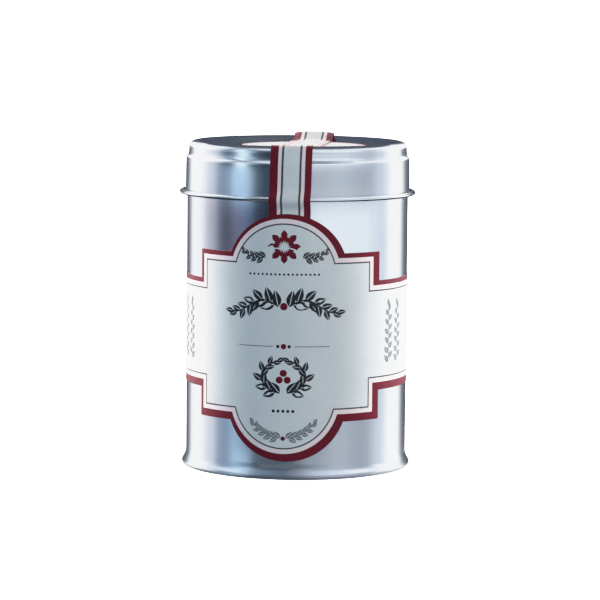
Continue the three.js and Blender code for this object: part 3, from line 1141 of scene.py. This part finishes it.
softboxes = {
    "places": [(-119, 34.0, (1.0, 0.87, 0.83)), (116, 24.5, (1.0, 0.97, 0.95))],  # azimuth, power, colour
    "distance": 900, "height": 200, "size": (350, 800), "aimHeight": 45,
}


def makeLights():
    s = softboxes
    for azimuth, power, colour in s["places"]:
        data = bpy.data.lights.new("softbox", "AREA")
        data.shape = "RECTANGLE"
        data.size = s["size"][0] * mm
        data.size_y = s["size"][1] * mm
        data.energy = power
        data.color = colour
        light = objectOf("softbox", data)
        light.visible_glossy = False
        spot = standing(s["distance"], azimuth + cameraPlace["azimuth"], s["height"])
        aim = Vector((0, 0, s["aimHeight"] * mm)) - Vector(spot)
        light.matrix_world = Matrix.Translation(spot) @ aim.to_track_quat("-Z", "Y").to_matrix().to_4x4()


# Sheets near the tin, seen only in its reflections: they shade the wall, the rim, the ring and the foot
# name: (distance from the axis, height) of both edges, kind, stops of (azimuth, red, green, blue)
# The azimuths are from the camera's side
cardList = {
    "net": ((68, 48), (68, 71), "Transparent", [
        (-116, 0.95, 0.95, 0.97), (-100, 0.86, 0.87, 0.92), (-84, 0.68, 0.66, 0.70),
        (-72, 0.55, 0.51, 0.55), (-64, 0.34, 0.25, 0.28), (-50, 0.31, 0.23, 0.26),
        (-42, 0.19, 0.20, 0.28), (-9, 0.22, 0.24, 0.34)]),
    "lightCard": ((68, 48), (68, 71), "Emission", [
        (7, 0.90, 0.97, 1.06), (18, 0.98, 1.05, 1.12), (60, 0.97, 1.04, 1.12), (84, 0.72, 0.78, 0.88)]),
    "lowNet": ((68, 0), (68, 20), "Transparent", [
        (-66, 0.95, 0.95, 0.96), (-56, 0.84, 0.85, 0.88), (-44, 0.45, 0.44, 0.45),
        (-31, 0.42, 0.42, 0.44)]),
    "lowGrey": ((68, 0), (68, 20), "Emission", [
        (-31, 0.125, 0.15, 0.185), (4, 0.13, 0.155, 0.19), (14, 0.27, 0.32, 0.37),
        (28, 0.42, 0.47, 0.54)]),
    "rimLeft": ((45, 88), (45, 100), "Emission", [(-47, 1.10, 1.28, 1.38), (-39, 1.10, 1.28, 1.38)]),
    "rimLine": ((45, 93), (45, 100), "Emission", [(-37, 0.20, 0.26, 0.32), (-9, 0.22, 0.27, 0.33)]),
    "rimRight": ((45, 88), (45, 100), "Emission", [
        (9, 0.96, 1.04, 1.12), (38, 0.96, 1.04, 1.12), (48, 0.80, 0.86, 0.94), (56, 0.60, 0.65, 0.72)]),
    "rimSideLeft": ((45, 87), (45, 100), "Emission", [
        (-128, 1.30, 1.32, 1.36), (-74, 1.30, 1.32, 1.36), (-62, 0.75, 0.80, 0.88),
        (-56, 0.35, 0.42, 0.50)]),
    "rimSideRight": ((45, 87), (45, 100), "Emission", [
        (56, 0.60, 0.65, 0.72), (70, 0.95, 0.99, 1.04), (80, 1.25, 1.28, 1.32), (128, 1.25, 1.28, 1.32)]),
    "farShade": ((45, 86), (45, 100), "Emission", [(128, 0.07, 0.08, 0.105), (232, 0.07, 0.08, 0.105)]),
    "lidShade": ((45, 100), (45, 135), "Emission", [(-180, 0.08, 0.10, 0.14), (180, 0.08, 0.10, 0.14)]),
    "ring": ((45, 82), (45, 87), "Emission", [
        (-60, 0.18, 0.24, 0.32), (-55, 0.08, 0.13, 0.20), (-47, 0.08, 0.13, 0.20), (-43, 1.0, 1.2, 1.32),
        (-37, 1.0, 1.2, 1.32), (-33, 0.06, 0.09, 0.13), (-24, 0.02, 0.03, 0.05),
        (-8, 0.03, 0.045, 0.07)]),
    "ringRight": ((45, 82), (45, 87), "Emission", [
        (8, 0.74, 0.81, 0.88), (30, 0.76, 0.83, 0.90), (44, 0.62, 0.67, 0.76), (56, 0.56, 0.60, 0.70)]),
    "overRim": ((33, 100), (46, 100), "Downlight", [
        (-118, 1.25, 1.28, 1.32), (-60, 1.22, 1.25, 1.30), (-51, 0.50, 0.56, 0.64),
        (-43, 0.34, 0.41, 0.50), (-35, 0.60, 0.66, 0.75), (-27, 0.86, 0.92, 1.02), (0, 0.80, 0.85, 0.95),
        (30, 0.86, 0.90, 0.99), (60, 1.10, 1.13, 1.18), (118, 1.25, 1.28, 1.32)]),
    "stepLine": ((31.3, 87.0), (32.8, 87.0), "Emission", [
        (7, 0.10, 0.115, 0.14), (15, 0.20, 0.22, 0.26), (21, 0.36, 0.39, 0.44), (33, 0.72, 0.77, 0.84)]),
    "footLine": ((36.5, 12), (44, 12), "Downlight", [
        (-120, 1.15, 1.18, 1.22), (-58, 0.96, 1.12, 1.30), (-40, 0.88, 1.06, 1.20),
        (-29, 0.24, 0.32, 0.43), (-8, 0.12, 0.16, 0.22), (4, 0.33, 0.38, 0.45), (13, 0.62, 0.69, 0.80),
        (36, 0.95, 1.02, 1.18), (50, 1.25, 1.30, 1.36), (120, 1.25, 1.30, 1.36)]),
    "footLeftSide": ((44, 12), (60, 12), "Downlight", [(-150, 1.3, 1.32, 1.36), (-76, 1.3, 1.32, 1.36)]),
    "footRightSide": ((44, 12), (60, 12), "Downlight", [(66, 1.2, 1.24, 1.30), (150, 1.2, 1.24, 1.30)]),
    "footShade": ((26, -0.6), (46, -0.6), "Emission", [
        (-175, 0.68, 0.70, 0.74), (-76, 0.68, 0.70, 0.74), (-56, 0.20, 0.235, 0.28),
        (-38, 0.21, 0.24, 0.29), (-24, 0.075, 0.095, 0.125), (-4, 0.075, 0.095, 0.125),
        (14, 0.17, 0.19, 0.235), (34, 0.24, 0.27, 0.32), (58, 0.60, 0.63, 0.68), (82, 0.75, 0.78, 0.82),
        (185, 0.75, 0.78, 0.82)]),
}
cardStep = 3  # degrees


def cardColour(stops, angle):
    for (start, *first), (end, *second) in zip(stops, stops[1:]):
        if angle <= end:
            share = (angle - start) / (end - start)
            return [a + (b - a) * share for a, b in zip(first, second)]
    return stops[-1][1:]


def cardMaterial(name, kind):
    material = bpy.data.materials.new(name)
    tree = emptyTree(material)
    tint = addNode(tree, "ShaderNodeAttribute", attribute_name="tint").outputs["Color"]
    lit = "ShaderNodeBsdfTransparent" if kind == "Transparent" else "ShaderNodeEmission"
    shader = addNode(tree, lit, {"Color": tint}).outputs[0]
    if kind == "Downlight":  # shines from its lower face alone
        behind = addNode(tree, "ShaderNodeNewGeometry").outputs["Backfacing"]
        clear = addNode(tree, "ShaderNodeBsdfTransparent").outputs[0]
        shader = combine("ShaderNodeMixShader", (behind, shader, clear))
    addNode(tree, "ShaderNodeOutputMaterial", {"Surface": shader})
    return material


def makeCards():
    for name, (first, second, kind, stops) in cardList.items():
        start = stops[0][0]
        end = stops[-1][0]
        angles = spread(start, end, math.ceil((end - start) / cardStep))
        points = []
        tints = []
        for angle in angles:
            points += [standing(r, angle + cameraPlace["azimuth"], z) for r, z in (first, second)]
            tints += [*cardColour(stops, angle), 1.0] * 2
        faces = [(2 * i, 2 * i + 2, 2 * i + 3, 2 * i + 1) for i in range(len(angles) - 1)]
        mesh = meshOf("studio_" + name, points, faces)
        mesh.attributes.new("tint", "FLOAT_COLOR", "POINT").data.foreach_set("color", tints)
        mesh.materials.append(cardMaterial("studio_" + name, kind))
        sheet = objectOf("studio_" + name, mesh)
        for ray in ("camera", "diffuse", "shadow", "transmission"):
            setattr(sheet, "visible_" + ray, False)


floorLook = {
    "half": 3.0,  # m
    "deep": (0.90, 0.90, 0.90), "light": (0.94, 0.94, 0.94), "mottleScale": 40, "roughness": 0.9,
}


def makeFloor():
    s = floorLook
    half = s["half"]
    corners = [(-half, -half, 0), (half, -half, 0), (half, half, 0), (-half, half, 0)]
    mesh = meshOf("floor", corners, [(0, 1, 2, 3)])
    floor = objectOf("floor", mesh)
    material, shader, place = startMaterial("floorWhite")
    mottle = noise(place, s["mottleScale"], 3)
    feedAll(shader, {
        "Base Color": blended(mottle, s["deep"], s["light"]), "Roughness": s["roughness"],
        "Emission Color": (1, 1, 1, 1), "Emission Strength": toneShoulder["reach"]})
    mesh.materials.append(material)
    floor.visible_glossy = False
    floor.visible_diffuse = False


makeWorld()
makeLights()
makeCards()
makeFloor()
print("studio made")
